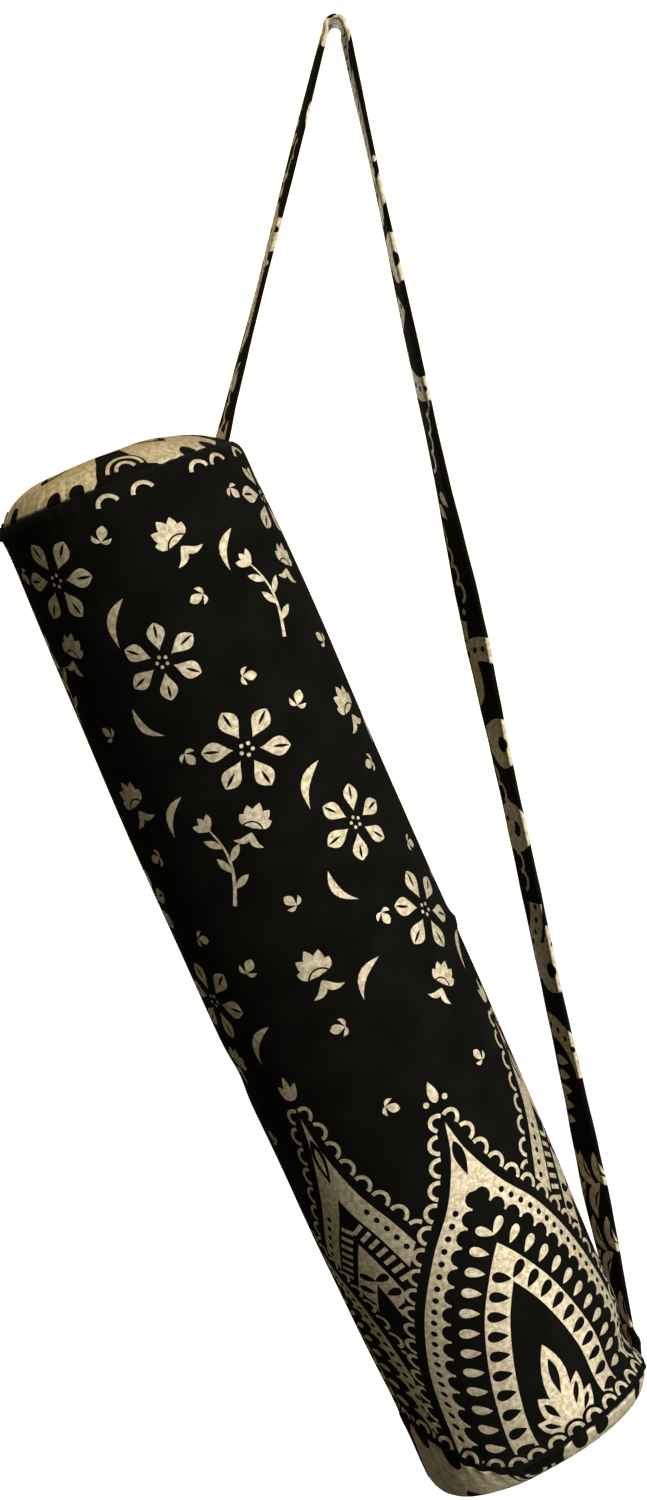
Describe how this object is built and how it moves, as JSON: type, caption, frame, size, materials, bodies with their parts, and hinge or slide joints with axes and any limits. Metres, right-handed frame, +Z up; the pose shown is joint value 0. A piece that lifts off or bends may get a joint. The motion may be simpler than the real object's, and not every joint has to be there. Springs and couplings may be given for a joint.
{
  "type": "yoga mat bag",
  "caption": "Long round cloth bag with a domed disc at each end, a zip round the back of its top seam and a flat shoulder strap, as it hangs by the strap.",
  "frame": {"origin": "underside of the strap's highest point, where it lies on what it hangs from", "axes": "+Z up, +X to the right of the front view, +Y away from the front"},
  "size_m": [0.3954, 0.1952, 0.8985],
  "materials": {
    "printed_canvas": "black cotton canvas with a matt gold print",
    "cap_canvas": "black cotton canvas with large matt gold patches",
    "strap_canvas": "folded and topstitched black cotton canvas with gold patches",
    "zip_tape": "woven black tape with a coil",
    "zip_metal": "satin antique metal"
  },
  "bodies": {
    "root": {"bag_tube": "printed_canvas", "top_cap": "cap_canvas", "bottom_cap": "cap_canvas", "shoulder_strap": "strap_canvas", "zip_tape": "zip_tape", "zip_slider": "zip_metal"}
  },
  "joints": []
}
